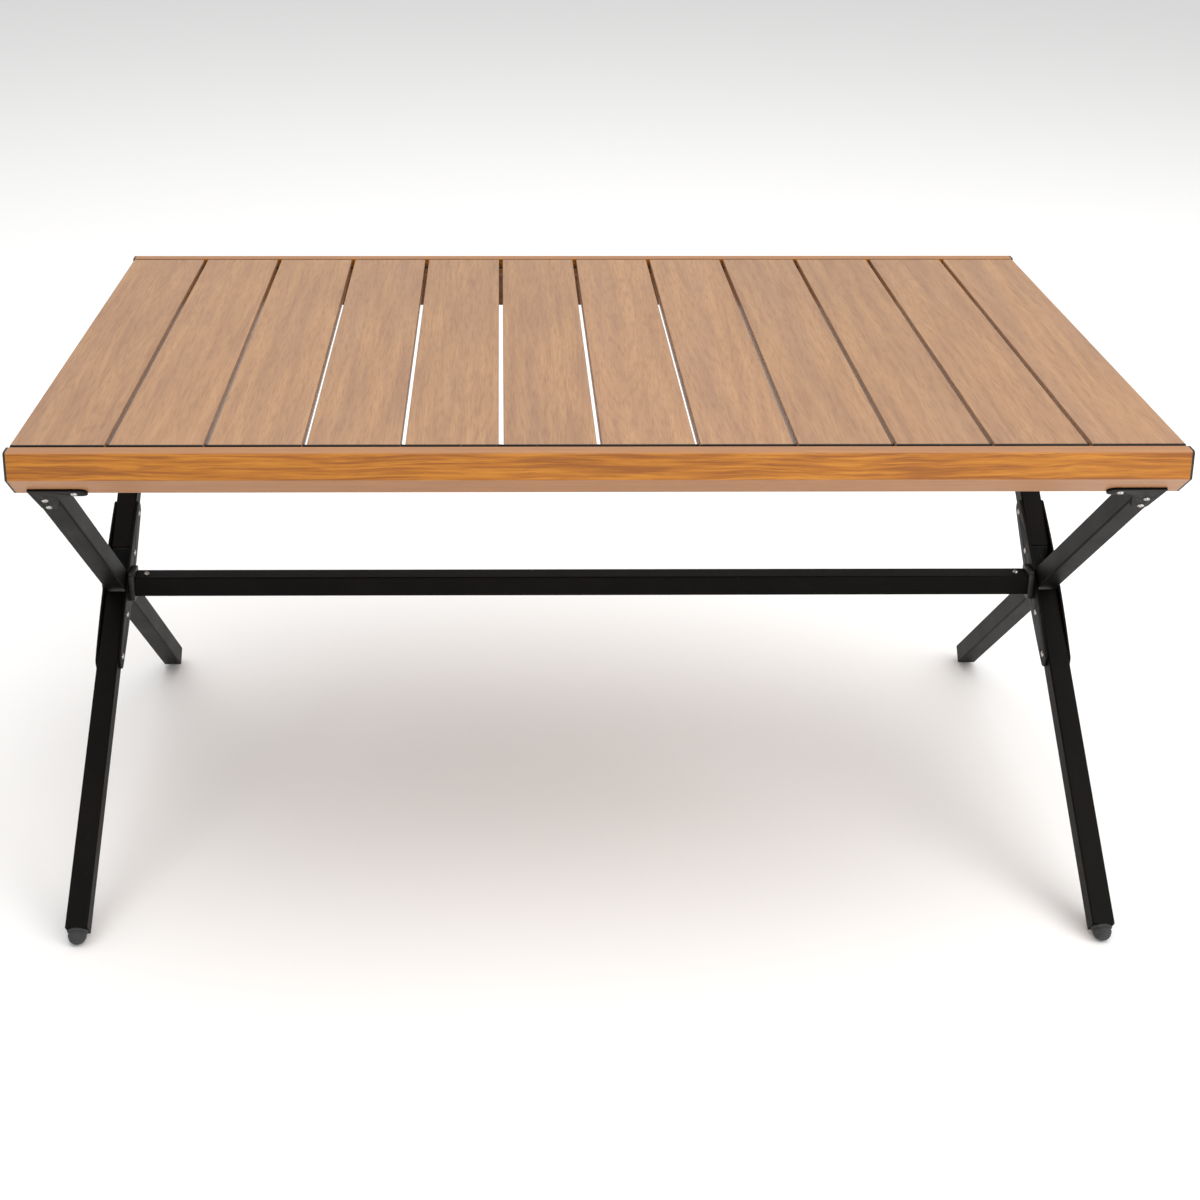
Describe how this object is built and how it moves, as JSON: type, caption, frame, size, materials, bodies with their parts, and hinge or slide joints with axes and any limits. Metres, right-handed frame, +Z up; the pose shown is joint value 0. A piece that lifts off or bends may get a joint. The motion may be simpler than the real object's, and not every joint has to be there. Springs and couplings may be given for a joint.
{
  "type": "folding picnic table",
  "caption": "Folding picnic table with a roll-up top of wood-grain aluminium slats between two long rails, on a black crossed-leg frame with a stretcher.",
  "frame": {"origin": "on the ground under the middle of the table", "axes": "+X along the long side, -Y towards the front rail, +Z up"},
  "size_m": [1.2, 0.74, 0.6],
  "materials": {
    "woodgrain_slat": "printed pale wood grain on extruded aluminium, satin",
    "woodgrain_rail": "printed honey-coloured wood grain on extruded aluminium, satin",
    "black_frame": "black powder coat",
    "black_plastic": "moulded black plastic",
    "bearing_plastic": "natural nylon",
    "foot_rubber": "dark grey moulded rubber",
    "bright_steel": "zinc-plated steel",
    "elastic": "black braided elastic cord"
  },
  "bodies": {
    "stretcher": {"stretcher_tube": "black_frame", "stretcher_fittings": "black_plastic", "stretcher_screws": "bright_steel", "pivot_bolts": "black_frame"},
    "front_frame": {"front_rail": "woodgrain_rail", "front_rail_caps": "black_plastic", "front_gusset_plates": "black_frame", "front_gusset_screws": "bright_steel", "rear_feet": "foot_rubber", "pivot_bushes": "bearing_plastic", "long_leg_left": "black_frame", "long_leg_right": "black_frame"},
    "back_frame": {"back_rail": "woodgrain_rail", "back_rail_caps": "black_plastic", "back_gusset_plates": "black_frame", "back_gusset_screws": "bright_steel", "front_feet": "foot_rubber", "splice_rivets": "bright_steel", "upper_leg_left": "black_frame", "upper_leg_right": "black_frame", "lower_leg_left": "black_frame", "lower_leg_right": "black_frame", "splice_plates_left": "black_frame", "splice_plates_right": "black_frame"},
    "top_slat_01": {"slat_01": "woodgrain_slat", "slat_plugs_01": "black_plastic", "elastic_cord_01": "elastic"},
    "top_slat_02": {"slat_02": "woodgrain_slat", "slat_plugs_02": "black_plastic", "elastic_cord_02": "elastic"},
    "top_slat_03": {"slat_03": "woodgrain_slat", "slat_plugs_03": "black_plastic", "elastic_cord_03": "elastic"},
    "top_slat_04": {"slat_04": "woodgrain_slat", "slat_plugs_04": "black_plastic", "elastic_cord_04": "elastic"},
    "top_slat_05": {"slat_05": "woodgrain_slat", "slat_plugs_05": "black_plastic", "elastic_cord_05": "elastic"},
    "top_slat_06": {"slat_06": "woodgrain_slat", "slat_plugs_06": "black_plastic", "elastic_cord_06": "elastic"},
    "top_slat_07": {"slat_07": "woodgrain_slat", "slat_plugs_07": "black_plastic", "elastic_cord_07": "elastic"},
    "top_slat_08": {"slat_08": "woodgrain_slat", "slat_plugs_08": "black_plastic", "elastic_cord_08": "elastic"},
    "top_slat_09": {"slat_09": "woodgrain_slat", "slat_plugs_09": "black_plastic", "elastic_cord_09": "elastic"},
    "top_slat_10": {"slat_10": "woodgrain_slat", "slat_plugs_10": "black_plastic", "elastic_cord_10": "elastic"},
    "top_slat_11": {"slat_11": "woodgrain_slat", "slat_plugs_11": "black_plastic", "elastic_cord_11": "elastic"},
    "top_slat_12": {"slat_12": "woodgrain_slat", "slat_plugs_12": "black_plastic", "elastic_cord_12": "elastic"}
  },
  "joints": [
    {"name": "top_lift", "type": "slide", "parent": "stretcher", "child": "top_slat_01", "axis": [0, 0, 1], "range_m": [0, 0.95]},
    {"name": "front_frame_fold", "type": "hinge", "parent": "stretcher", "child": "front_frame", "pos_m": [0, 0, 0.283], "axis": [-1, 0, 0], "range_deg": [0, 33]},
    {"name": "back_frame_fold", "type": "hinge", "parent": "stretcher", "child": "back_frame", "pos_m": [0, 0, 0.283], "axis": [1, 0, 0], "range_deg": [0, 33]},
    {"name": "roll_01", "type": "hinge", "parent": "top_slat_01", "child": "top_slat_02", "pos_m": [-0.5, 0, 0.6], "axis": [0, -1, 0], "range_deg": [0, 40]},
    {"name": "roll_02", "type": "hinge", "parent": "top_slat_02", "child": "top_slat_03", "pos_m": [-0.4, 0, 0.6], "axis": [0, -1, 0], "range_deg": [0, 42.5]},
    {"name": "roll_03", "type": "hinge", "parent": "top_slat_03", "child": "top_slat_04", "pos_m": [-0.3, 0, 0.6], "axis": [0, -1, 0], "range_deg": [0, 45]},
    {"name": "roll_04", "type": "hinge", "parent": "top_slat_04", "child": "top_slat_05", "pos_m": [-0.2, 0, 0.6], "axis": [0, -1, 0], "range_deg": [0, 47.5]},
    {"name": "roll_05", "type": "hinge", "parent": "top_slat_05", "child": "top_slat_06", "pos_m": [-0.1, 0, 0.6], "axis": [0, -1, 0], "range_deg": [0, 50]},
    {"name": "roll_06", "type": "hinge", "parent": "top_slat_06", "child": "top_slat_07", "pos_m": [0, 0, 0.6], "axis": [0, -1, 0], "range_deg": [0, 52.5]},
    {"name": "roll_07", "type": "hinge", "parent": "top_slat_07", "child": "top_slat_08", "pos_m": [0.1, 0, 0.6], "axis": [0, -1, 0], "range_deg": [0, 55]},
    {"name": "roll_08", "type": "hinge", "parent": "top_slat_08", "child": "top_slat_09", "pos_m": [0.2, 0, 0.6], "axis": [0, -1, 0], "range_deg": [0, 57.5]},
    {"name": "roll_09", "type": "hinge", "parent": "top_slat_09", "child": "top_slat_10", "pos_m": [0.3, 0, 0.6], "axis": [0, -1, 0], "range_deg": [0, 60]},
    {"name": "roll_10", "type": "hinge", "parent": "top_slat_10", "child": "top_slat_11", "pos_m": [0.4, 0, 0.6], "axis": [0, -1, 0], "range_deg": [0, 62.5]},
    {"name": "roll_11", "type": "hinge", "parent": "top_slat_11", "child": "top_slat_12", "pos_m": [0.5, 0, 0.6], "axis": [0, -1, 0], "range_deg": [0, 65]}
  ],
  "couplings": [
    {"joint": "front_frame_fold", "follows": "top_lift", "rad_per_m": 0.6},
    {"joint": "back_frame_fold", "follows": "top_lift", "rad_per_m": 0.6},
    {"joint": "roll_02", "follows": "roll_01", "ratio": 1.0625},
    {"joint": "roll_03", "follows": "roll_01", "ratio": 1.125},
    {"joint": "roll_04", "follows": "roll_01", "ratio": 1.1875},
    {"joint": "roll_05", "follows": "roll_01", "ratio": 1.25},
    {"joint": "roll_06", "follows": "roll_01", "ratio": 1.3125},
    {"joint": "roll_07", "follows": "roll_01", "ratio": 1.375},
    {"joint": "roll_08", "follows": "roll_01", "ratio": 1.4375},
    {"joint": "roll_09", "follows": "roll_01", "ratio": 1.5},
    {"joint": "roll_10", "follows": "roll_01", "ratio": 1.5625},
    {"joint": "roll_11", "follows": "roll_01", "ratio": 1.625}
  ]
}
